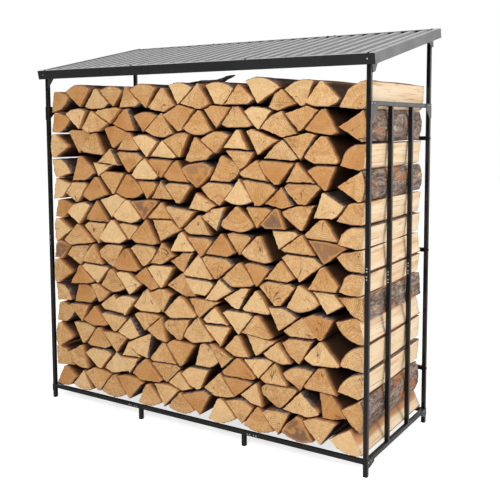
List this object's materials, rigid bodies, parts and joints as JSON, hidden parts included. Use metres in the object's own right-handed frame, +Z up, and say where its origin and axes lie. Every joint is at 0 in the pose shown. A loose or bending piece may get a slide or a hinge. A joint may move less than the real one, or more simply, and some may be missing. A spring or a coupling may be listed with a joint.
{
  "type": "log store",
  "caption": "Lean-to log store: slender square steel tubes on short feet, a ribbed steel roof rising to the back, full of split firewood stacked in courses.",
  "frame": {"origin": "middle of the overall box, on the ground", "axes": "+Z up, the open front faces -Y, the roof rises towards +Y, X runs along the width"},
  "size_m": [1.852, 0.7824, 1.8839],
  "materials": {
    "frame_steel": "satin anthracite powder coat on square steel tube and pressed plates",
    "roof_steel": "satin anthracite coated steel sheet",
    "sleeve_steel": "plain galvanised steel",
    "foot_plastic": "black moulded plastic",
    "firewood": "sawn end grain, split faces and rough bark"
  },
  "bodies": {
    "root": {"back_bottom_rail_left": "frame_steel", "back_bottom_rail_middle": "frame_steel", "back_bottom_rail_right": "frame_steel", "back_left_post_lower": "frame_steel", "back_left_post_upper": "frame_steel", "back_middle_feet": "frame_steel", "back_rail_low": "frame_steel", "back_rail_middle": "frame_steel", "back_rail_upper": "frame_steel", "back_right_post_lower": "frame_steel", "back_right_post_upper": "frame_steel", "back_roof_rail": "frame_steel", "back_trim": "roof_steel", "firewood_tier_1": "firewood", "firewood_tier_2": "firewood", "firewood_tier_3": "firewood", "firewood_tier_4": "firewood", "firewood_tier_5": "firewood", "foot_caps": "foot_plastic", "front_bottom_rail_left": "frame_steel", "front_bottom_rail_middle": "frame_steel", "front_bottom_rail_right": "frame_steel", "front_left_post_lower": "frame_steel", "front_left_post_upper": "frame_steel", "front_middle_feet": "frame_steel", "front_right_post_lower": "frame_steel", "front_right_post_upper": "frame_steel", "front_roof_rail": "frame_steel", "front_trim": "roof_steel", "left_bar_1": "frame_steel", "left_bar_2": "frame_steel", "left_bottom_rail": "frame_steel", "left_gussets": "frame_steel", "left_roof_tube": "frame_steel", "left_top_rail": "frame_steel", "left_trim": "roof_steel", "right_bar_1": "frame_steel", "right_bar_2": "frame_steel", "right_bottom_rail": "frame_steel", "right_gussets": "frame_steel", "right_roof_tube": "frame_steel", "right_top_rail": "frame_steel", "right_trim": "roof_steel", "roof_sheet": "roof_steel", "splice_sleeves": "sleeve_steel"}
  },
  "joints": []
}
